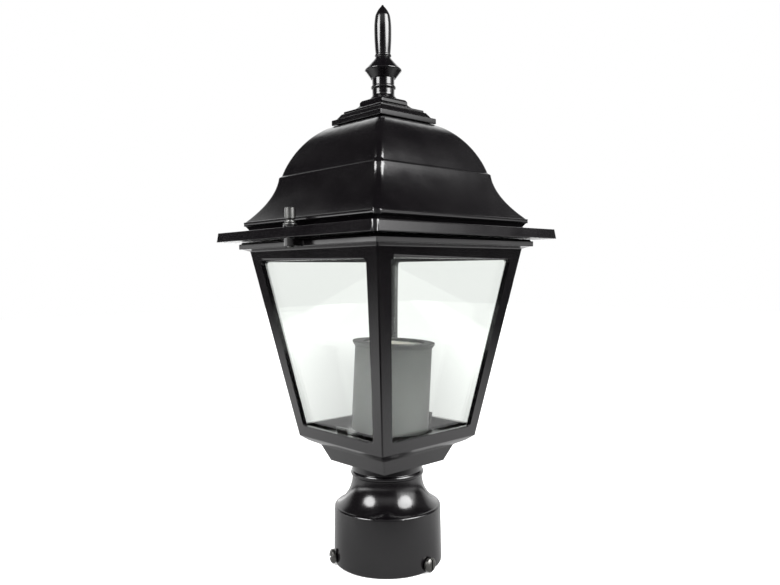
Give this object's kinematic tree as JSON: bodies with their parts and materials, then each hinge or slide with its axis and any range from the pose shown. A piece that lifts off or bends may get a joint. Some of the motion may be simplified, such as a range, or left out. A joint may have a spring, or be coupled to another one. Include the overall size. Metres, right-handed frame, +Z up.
{
  "type": "post top street lantern",
  "caption": "Four-sided post-top street lantern: post collar with clamp screws, tapered glass case with a lampholder inside, lift-off domed roof and a turned finial.",
  "frame": {"origin": "on the lantern's upright axis at the lower face of the post collar", "axes": "+Z up along the lantern's axis towards the finial; -Y the front, with a bottom glass clip and a thumb screw; +X the right"},
  "size_m": [0.1598, 0.1598, 0.3638],
  "materials": {
    "black_enamel": "semi-gloss black enamel on cast aluminium",
    "clear_glass": "clear float glass with a faint green tint",
    "zinc_steel": "zinc-plated steel",
    "dark_steel": "blackened steel",
    "white_ceramic": "white glazed ceramic",
    "contact_brass": "plain brass",
    "grey_sleeve": "matt grey moulded sleeve"
  },
  "bodies": {
    "lantern": {"post_collar": "black_enamel", "lantern_frame": "black_enamel", "glass_pane_front": "clear_glass", "glass_pane_right": "clear_glass", "glass_pane_back": "clear_glass", "glass_pane_left": "clear_glass", "bottom_clip_front": "zinc_steel", "bottom_clip_back": "zinc_steel", "top_clip_front": "zinc_steel", "top_clip_right": "zinc_steel", "top_clip_back": "zinc_steel", "top_clip_left": "zinc_steel", "clip_screws": "zinc_steel", "nipple": "zinc_steel", "nipple_washer": "zinc_steel", "nipple_lower_nut": "zinc_steel", "nipple_upper_nut": "zinc_steel", "lampholder_bracket": "zinc_steel", "lampholder_screws": "zinc_steel", "lampholder_body": "white_ceramic", "lampholder_shell": "contact_brass", "lampholder_contact": "contact_brass", "lampholder_sleeve": "grey_sleeve"},
    "roof_cap": {"roof": "black_enamel", "finial": "black_enamel", "finial_stud": "zinc_steel", "finial_washer": "zinc_steel", "finial_nut": "zinc_steel", "thumb_washer_front": "zinc_steel", "thumb_washer_back": "zinc_steel"},
    "thumb_screw_front": {"thumb_screw_front": "zinc_steel"},
    "thumb_screw_back": {"thumb_screw_back": "zinc_steel"},
    "collar_screw_1": {"collar_screw_1": "dark_steel"},
    "collar_screw_2": {"collar_screw_2": "dark_steel"},
    "collar_screw_3": {"collar_screw_3": "dark_steel"}
  },
  "joints": [
    {"name": "roof_lift", "type": "slide", "parent": "lantern", "child": "roof_cap", "axis": [0, 0, 1], "range_m": [0, 0.06]},
    {"name": "thumb_screw_front_undo", "type": "slide", "parent": "roof_cap", "child": "thumb_screw_front", "axis": [0, 0, 1], "range_m": [0, 0.006]},
    {"name": "thumb_screw_back_undo", "type": "slide", "parent": "roof_cap", "child": "thumb_screw_back", "axis": [0, 0, 1], "range_m": [0, 0.006]},
    {"name": "collar_screw_1_turn", "type": "slide", "parent": "lantern", "child": "collar_screw_1", "axis": [0.9986, 0.0523, 0], "range_m": [-0.0005, 0.005]},
    {"name": "collar_screw_2_turn", "type": "slide", "parent": "lantern", "child": "collar_screw_2", "axis": [-0.5446, 0.8387, 0], "range_m": [-0.0005, 0.005]},
    {"name": "collar_screw_3_turn", "type": "slide", "parent": "lantern", "child": "collar_screw_3", "axis": [-0.454, -0.891, 0], "range_m": [-0.0005, 0.005]}
  ]
}
